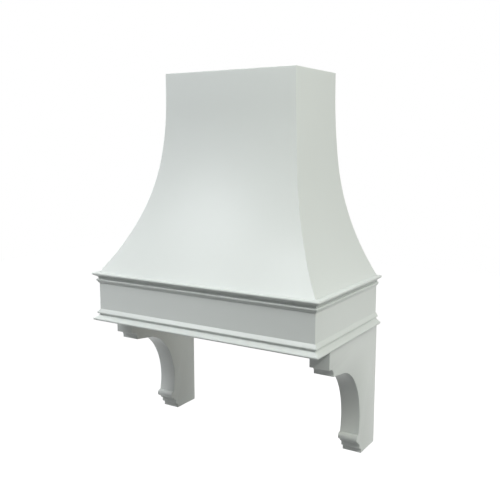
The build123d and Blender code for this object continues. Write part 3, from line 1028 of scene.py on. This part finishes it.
def keyholePlateTree():
    # A plate facing +Z with a keyhole, and a countersunk hole above and below it
    inputs = {
        "Places": ("Geometry", None),
        "Size": ("Vector", (0.016, 0.044, 0.002)),
        "Corner": ("Float", 0.001),
        "Hole Radius": ("Float", 0.005),
        "Slot Radius": ("Float", 0.0026),
        "Slot Rise": ("Float", 0.014),
        "Screw Pitch": ("Float", 0.035),
        "Screw Radius": ("Float", 0.0014),
        "Sink Radius": ("Float", 0.0028),
        "Finish": ("Material", None),
    }
    tree, given, result = newTree("keyholePlate", "GeometryNodeTree", inputs, {"Geometry": "Geometry"})
    width, height, thickness = separate(tree, given["Size"])
    sides = {"Width": width, "Height": height}
    blank = addNode(tree, "GeometryNodeCurvePrimitiveQuadrilateral", sides).outputs[0]
    corner = {"Curve": blank, "Radius": given["Corner"], "Count": 4}
    rounded = addNode(tree, "GeometryNodeFilletCurve", corner, mode="POLY").outputs[0]
    plate = thickened(tree, rounded, thickness)
    through = calc(tree, "MULTIPLY", thickness, 4.0)
    cutters = keyholeBars(tree, given["Hole Radius"], given["Slot Radius"], given["Slot Rise"], through)
    for side in (-0.5, 0.5):
        y = calc(tree, "MULTIPLY", given["Screw Pitch"], side)
        middle = combine(tree, Y=y)
        cutters.append(roundBar(tree, given["Screw Radius"], through, middle))
        sink = {"Vertices": 32, "Radius Top": given["Sink Radius"], "Radius Bottom": given["Screw Radius"]}
        sink["Depth"] = calc(tree, "SUBTRACT", given["Sink Radius"], given["Screw Radius"])
        cone = addNode(tree, "GeometryNodeMeshCone", sink).outputs["Mesh"]
        foot = calc(tree, "SUBTRACT", thickness, sink["Depth"])
        cutters.append(moved(tree, cone, combine(tree, Y=y, Z=foot)))
    for cutter in cutters:
        plate = cutAway(tree, plate, [cutter])
    standAt(tree, result, given["Places"], plate, (0, 0, 0), given["Finish"])
    return tree


def makeKeyholePlates():
    values = {
        "Size": keyholeFixing["plate"],
        "Corner": keyholeFixing["plateCorner"],
        "Hole Radius": keyholeFixing["holeR"],
        "Slot Radius": keyholeFixing["slotR"],
        "Slot Rise": keyholeFixing["slotRise"],
        "Screw Pitch": keyholeFixing["screwPitch"],
        "Screw Radius": keyholeFixing["screwR"],
        "Sink Radius": keyholeFixing["sinkR"],
        "Finish": zincSteel,
    }
    places = [(side * corbelMiddle, keyholeFixing["level"], -keyholeFixing["plate"][2]) for side in (-1, 1)]
    mesh = grown(keyholePlateTree(), "keyholePlates", values, places=places)
    # Local x, y and z become -X, Z and Y
    mesh.transform(Matrix(((-1, 0, 0, 0), (0, 0, 1, 0), (0, 1, 0, 0), (0, 0, 0, 1))))
    addPiece("keyholePlates", mesh, "zinc_steel", "keyhole_plates")


makeKeyholePlates()
print("keyhole plates stamped")

# screws: turned to a profile, with a crossed recess and a rolled thread

screwStations = ("Top", "Crown", "Rim", "Flange", "Seat", "Neck", "Root", "Taper", "Point")

# Height above the surface and radius at each station of the head
sunkHead = {
    "Top": (0.0, 0.00385),
    "Crown": (-0.00015, 0.0040),
    "Rim": (-0.00045, 0.0040),
    "Flange": (-0.0015, 0.0030),
    "Seat": (-0.0026, 0.0020),
}
washerHead = {
    "Top": (0.0022, 0.0016),
    "Crown": (0.0019, 0.0027),
    "Rim": (0.0009, 0.0032),
    "Flange": (0.0006, 0.0043),
    "Seat": (0.0, 0.0043),
}
smallHead = {
    "Top": (0.0, 0.0027),
    "Crown": (-0.0001, 0.0028),
    "Rim": (-0.0003, 0.0028),
    "Flange": (-0.0008, 0.0021),
    "Seat": (-0.0014, 0.0014),
}

screwShape = {
    "segments": 20,
    "threadSteps": 14,
    "shoulder": 0.0006,
    "taperLength": 0.004,
    "pointR": 0.00015,
}

screwPlaces = {
    "topX": 0.2472,
    "topY": (-0.2805, -0.0095),
    "deckSideX": 0.4245,
    "deckSideY": (-0.24, -0.09),
    "deckFrontX": (-0.35, -0.19, 0.0, 0.19, 0.35),
    "deckFrontY": -0.471,
    "deckBackX": (-0.23, 0.0, 0.23),
    "deckBackY": -0.0095,
}

# Smooth is the length without thread. A recess has its arm, width and depth.
coarseThread = {"shankR": 0.0020, "rootR": 0.00145, "pitch": 0.0025}
fineThread = {"shankR": 0.0014, "rootR": 0.0009, "pitch": 0.0014}
sunkRecess = (0.0023, 0.0009, 0.0016)
washerRecess = (0.0021, 0.0009, 0.0015)
smallRecess = (0.0016, 0.0006, 0.0009)
screwKinds = {
    "frame": {"head": sunkHead, "length": 0.050, "smooth": 0.022, "recess": sunkRecess, **coarseThread},
    "corbel": {"head": sunkHead, "length": 0.058, "smooth": 0.024, "recess": sunkRecess, **coarseThread},
    "deck": {"head": washerHead, "length": 0.032, "smooth": 0.0002, "recess": washerRecess, **coarseThread},
    "plate": {"head": smallHead, "length": 0.016, "smooth": 0.0018, "recess": smallRecess, **fineThread},
}


def stationValue(tree, given, quality):
    # The height or radius of the station that a point stands for
    switch = addNode(tree, "GeometryNodeIndexSwitch", data_type="FLOAT")
    while len(switch.index_switch_items) < len(screwStations):
        switch.index_switch_items.new()
    setInput(tree, switch.inputs[0], addNode(tree, "GeometryNodeInputIndex").outputs[0])
    for socket, station in zip(list(switch.inputs)[1:], screwStations):
        setInput(tree, socket, given[f"{station} {quality}"])
    return switch.outputs[0]


def screwTree():
    # Screws down from each place, each turned by chance about its own axis
    inputs = {"Places": ("Geometry", None)}
    for name in screwStations:
        inputs.update({f"{name} {quality}": ("Float", 0.0) for quality in ("Height", "Radius")})
    inputs.update({f"Recess {quality}": ("Float", 0.001) for quality in ("Arm", "Width", "Depth")})
    inputs.update({"Pitch": ("Float", 0.0025), "Seed": ("Int", 1), "Finish": ("Material", None)})
    tree, given, result = newTree("screw", "GeometryNodeTree", inputs, {"Geometry": "Geometry"})
    line = addNode(tree, "GeometryNodeCurvePrimitiveLine").outputs[0]
    count = len(screwStations)
    path = addNode(tree, "GeometryNodeResampleCurve", {"Curve": line, "Count": count}).outputs[0]
    station = combine(tree, Z=stationValue(tree, given, "Height"))
    axis = addNode(tree, "GeometryNodeSetPosition", {"Geometry": path, "Position": station}).outputs[0]
    circle = {"Resolution": screwShape["segments"], "Radius": 1.0}
    ring = addNode(tree, "GeometryNodeCurvePrimitiveCircle", circle).outputs[0]
    radius = stationValue(tree, given, "Radius")
    turned = {"Curve": axis, "Profile Curve": ring, "Scale": radius, "Fill Caps": True}
    screw = addNode(tree, "GeometryNodeCurveToMesh", turned).outputs[0]
    arm, width, depth = (calc(tree, "MULTIPLY", given[f"Recess {q}"], 2.0) for q in ("Arm", "Width", "Depth"))
    top = combine(tree, Z=given["Top Height"])
    slot = calc(tree, "MULTIPLY", width, 0.5)
    for x, y in ((arm, slot), (slot, arm)):
        size = combine(tree, X=x, Y=y, Z=depth)
        screw = cutAway(tree, screw, [squareBar(tree, size, top)])
    length = calc(tree, "SUBTRACT", given["Root Height"], given["Taper Height"])
    helix = {
        "Resolution": screwShape["threadSteps"],
        "Rotations": calc(tree, "DIVIDE", length, given["Pitch"]),
        "Start Radius": given["Root Radius"],
        "End Radius": given["Root Radius"],
        "Height": length,
    }
    coil = addNode(tree, "GeometryNodeCurveSpiral", helix).outputs[0]
    upright = addNode(tree, "GeometryNodeSetCurveNormal", {"Curve": coil}, mode="Z_UP").outputs[0]
    crest = calc(tree, "SUBTRACT", given["Neck Radius"], given["Root Radius"])
    ridge = addNode(tree, "GeometryNodeCurvePrimitiveCircle", {"Resolution": 4, "Radius": crest}).outputs[0]
    rolled = {"Curve": upright, "Profile Curve": ridge, "Fill Caps": True}
    foot = combine(tree, Z=given["Taper Height"])
    thread = moved(tree, addNode(tree, "GeometryNodeCurveToMesh", rolled).outputs[0], foot)
    turns = {2: 0.0, 3: math.pi, "Seed": given["Seed"]}
    chance = addNode(tree, "FunctionNodeRandomValue", turns, data_type="FLOAT")
    turn = combine(tree, Z=chance.outputs[1])
    standAt(tree, result, given["Places"], joinAll(tree, (screw, thread)), turn, given["Finish"])
    return tree


def screwValues(kind, seed):
    screw = screwKinds[kind]
    stations = dict(screw["head"])
    stations["Neck"] = (-screw["smooth"], screw["shankR"])
    stations["Root"] = (-screw["smooth"] - screwShape["shoulder"], screw["rootR"])
    stations["Taper"] = (screwShape["taperLength"] - screw["length"], screw["rootR"])
    stations["Point"] = (-screw["length"], screwShape["pointR"])
    values = {f"{name} Height": height for name, (height, radius) in stations.items()}
    values.update({f"{name} Radius": radius for name, (height, radius) in stations.items()})
    values.update(zip(("Recess Arm", "Recess Width", "Recess Depth"), screw["recess"]))
    values.update({"Pitch": screw["pitch"], "Seed": seed, "Finish": zincSteel})
    return values


firstScrewSeed = 11


def makeScrews():
    tree = screwTree()
    p = screwPlaces
    top = [(side * p["topX"], y, bodyTop) for side in (-1, 1) for y in p["topY"]]
    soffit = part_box("soffit_rail_front")[1].z
    corbel = [
        (side * corbelScrewHoles["x"], -reach, soffit)
        for side in (-1, 1)
        for reach in corbelScrewHoles["reaches"]
    ]
    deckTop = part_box("deck_rail_front")[1].z
    deck = [(side * p["deckSideX"], y, deckTop) for side in (-1, 1) for y in p["deckSideY"]]
    deck += [(x, p["deckFrontY"], deckTop) for x in p["deckFrontX"]]
    deck += [(x, p["deckBackY"], deckTop) for x in p["deckBackX"]]
    rows = [keyholeFixing["level"] + side * keyholeFixing["screwPitch"] / 2 for side in (-1, 1)]
    plate = [(side * corbelMiddle, -row, 0.0) for side in (-1, 1) for row in rows]
    for seed, (name, kind, places, nodes) in enumerate(
        (
            ("topFrameScrews", "frame", top, ["top_frame_screws"]),
            ("corbelScrews", "corbel", corbel, ["corbel_screws"]),
            ("deckScrews", "deck", deck, []),
            ("plateScrews", "plate", plate, []),
        ),
        start=firstScrewSeed,
    ):
        mesh = grown(tree, name, screwValues(kind, seed), places=places)
        if kind == "plate":
            mesh.transform(Matrix.Rotation(math.radians(-90), 4, "X"))  # heads towards the wall
        addPiece(name, mesh, "zinc_steel", *nodes)


makeScrews()
print("screws turned")

# frame boards keep their CAD shapes, with a finish and eased arrises

boardEase = {
    "arris": 0.0007,
    "segments": 2,
    "weld": 0.00001,
    "sharpAngle": 35,  # degrees, and so is the next
    "flatAngle": 0.5,
}

# Which finish a node takes by how its name starts, the longer name first. All others are upright poplar.
boardFinishes = {
    "soffit_rail_front": trimPaint["X"],
    "soffit_rail_back": trimPaint["X"],
    "soffit_rail": trimPaint["Y"],
    "top_rail_front": birchPly["FlatX"],
    "top_rail_back": birchPly["FlatX"],
    "top_rail": birchPly["FlatY"],
    "deck_rail_front": birchPly["FlatX"],
    "deck_rail_back": birchPly["FlatX"],
    "deck_rail": birchPly["FlatY"],
    "hanging_rail": birchPly["UprightX"],
    "wall_cleat": birchPly["UprightX"],
    "lower_back_rail": birchPly["UprightX"],
    "front_ledger": poplar["X"],
    "back_ledger": poplar["X"],
    "left_ledger": poplar["Y"],
    "right_ledger": poplar["Y"],
}


def finishBoards():
    for name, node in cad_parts.items():
        if name in replacedNodes:
            continue
        matches = (value for start, value in boardFinishes.items() if name.startswith(start))
        finish = next(matches, poplar["Z"])
        node.data.materials.clear()
        node.data.materials.append(finish)
        weld = node.modifiers.new("weld", "WELD")
        weld.merge_threshold = boardEase["weld"]
        flatten = node.modifiers.new("flatten", "DECIMATE")
        flatten.decimate_type = "DISSOLVE"
        flatten.angle_limit = math.radians(boardEase["flatAngle"])
        ease = node.modifiers.new("arris", "BEVEL")
        ease.limit_method = "ANGLE"
        ease.angle_limit = math.radians(boardEase["sharpAngle"])
        ease.width = boardEase["arris"]
        ease.segments = boardEase["segments"]
        smooth = node.modifiers.new("smooth", "WEIGHTED_NORMAL")
        smooth.keep_sharp = False


finishBoards()
print("frame boards finished")

# studio

studio = {
    "floorZ": -1.45,
    "floorHalf": 9.0,
    "aim": (0.0, -0.25, 0.25),
    "floorGlow": 0.93,
    "floorTone": (0.25, 0.25, 0.25, 1),
    "floorRoughness": 0.9,
    "ambient": 0.05,
    "keyStrength": 0.65,
    "keyTint": "warm",
    "keyAngle": 3.0,  # degrees
    "keyFrom": (58.0, 40.0),
}

lampTints = {"warm": (0.98, 1.0, 0.94), "plain": (0.98, 1.0, 0.99), "cool": (0.94, 0.955, 1.0)}

# Lamps round the hood: azimuth from the front towards the right, elevation, distance, width as a share
# of the distance, strength, tint
studioLamps = {
    "rightLamp": (60, 45, 2.5, 0.7, 0.28, "warm"),
    "leftLamp": (270, 20, 2.5, 0.7, 0.22, "plain"),
    "highLamp": (340, 58, 4.5, 0.4, 0.22, "cool"),
    "crossLamp": (318, 34, 4.5, 0.4, 0.16, "cool"),
    "rearLamp": (120, 0, 4.5, 0.7, 0.16, "warm"),
    "backLamp": (180, 15, 4.5, 0.25, 0.16, "plain"),
    "lowLeftLamp": (315, -25, 4.5, 0.7, 0.10, "plain"),
    "lowRearLamp": (135, -25, 4.5, 0.7, 0.06, "plain"),
}


def seenDirectly(tree):
    # 1 for the camera, and for what glossy and clear things show
    path = addNode(tree, "ShaderNodeLightPath").outputs
    glossyOrClear = calc(tree, "MAXIMUM", path["Is Glossy Ray"], path["Is Transmission Ray"])
    return calc(tree, "MAXIMUM", path["Is Camera Ray"], glossyOrClear)


def makeFloor():
    half, z = studio["floorHalf"], studio["floorZ"]
    mesh = bpy.data.meshes.new("floor")
    corners = [(-half, -half, z), (half, -half, z), (half, half, z), (-half, half, z)]
    mesh.from_pydata(corners, [], [(0, 1, 2, 3)])
    floor = bpy.data.objects.new("floor", mesh)
    bpy.context.scene.collection.objects.link(floor)
    material = bpy.data.materials.new("floorPaper")
    material.use_nodes = True
    tree = material.node_tree
    shader = tree.nodes["Principled BSDF"]
    shader.inputs["Base Color"].default_value = studio["floorTone"]
    shader.inputs["Roughness"].default_value = studio["floorRoughness"]
    # Lit, the paper reaches white with its glow. In the hood's shadow it stays just below.
    glow = addNode(tree, "ShaderNodeEmission", {"Color": (1, 1, 1, 1), "Strength": studio["floorGlow"]})
    white = addNode(tree, "ShaderNodeAddShader", {0: shader.outputs[0], 1: glow.outputs[0]}).outputs[0]
    shown = {0: seenDirectly(tree), 1: shader.outputs[0], 2: white}
    paper = addNode(tree, "ShaderNodeMixShader", shown).outputs[0]
    # From below it is clear
    isBack = addNode(tree, "ShaderNodeNewGeometry").outputs["Backfacing"]
    clear = addNode(tree, "ShaderNodeBsdfTransparent").outputs[0]
    mix = addNode(tree, "ShaderNodeMixShader", {0: isBack, 1: paper, 2: clear})
    tree.links.new(mix.outputs[0], tree.nodes["Material Output"].inputs["Surface"])
    mesh.materials.append(material)


def makeWorld():
    world = bpy.data.worlds.new("studio")
    world.use_nodes = True
    tree = world.node_tree
    tree.nodes.clear()
    white = (1, 1, 1, 1)
    seen = addNode(tree, "ShaderNodeBackground", {"Color": white, "Strength": 1.0}).outputs[0]
    dim = {"Color": white, "Strength": studio["ambient"]}
    lit = addNode(tree, "ShaderNodeBackground", dim).outputs[0]
    mix = addNode(tree, "ShaderNodeMixShader", {0: seenDirectly(tree), 1: lit, 2: seen}).outputs[0]
    addNode(tree, "ShaderNodeOutputWorld", {"Surface": mix})
    bpy.context.scene.world = world


def lampDirection(azimuth, elevation):
    a, e = math.radians(azimuth), math.radians(elevation)
    return Vector((math.sin(a) * math.cos(e), -math.cos(a) * math.cos(e), math.sin(e)))


def addLamp(name, data, place, direction):
    lamp = bpy.data.objects.new(name, data)
    lamp.location = place
    lamp.rotation_euler = direction.to_track_quat("Z", "Y").to_euler()
    bpy.context.scene.collection.objects.link(lamp)
    return lamp


def makeLamps():
    aim = Vector(studio["aim"])
    for name, (azimuth, elevation, distance, share, strength, tint) in studioLamps.items():
        data = bpy.data.lights.new(name, "AREA")
        data.shape = "DISK"
        data.size = share * distance
        data.energy = strength * 4 * math.pi * distance**2
        data.color = lampTints[tint]
        direction = lampDirection(azimuth, elevation)
        lamp = addLamp(name, data, aim + direction * distance, direction)
        lamp.visible_glossy = name != "backLamp"  # else it glares along the side mouldings
    key = bpy.data.lights.new("keyLamp", "SUN")
    key.energy = studio["keyStrength"]
    key.color = lampTints[studio["keyTint"]]
    key.angle = math.radians(studio["keyAngle"])
    addLamp("keyLamp", key, aim, lampDirection(*studio["keyFrom"]))


makeFloor()
makeWorld()
makeLamps()
bpy.context.scene.view_settings.view_transform = "Standard"
print("studio set")
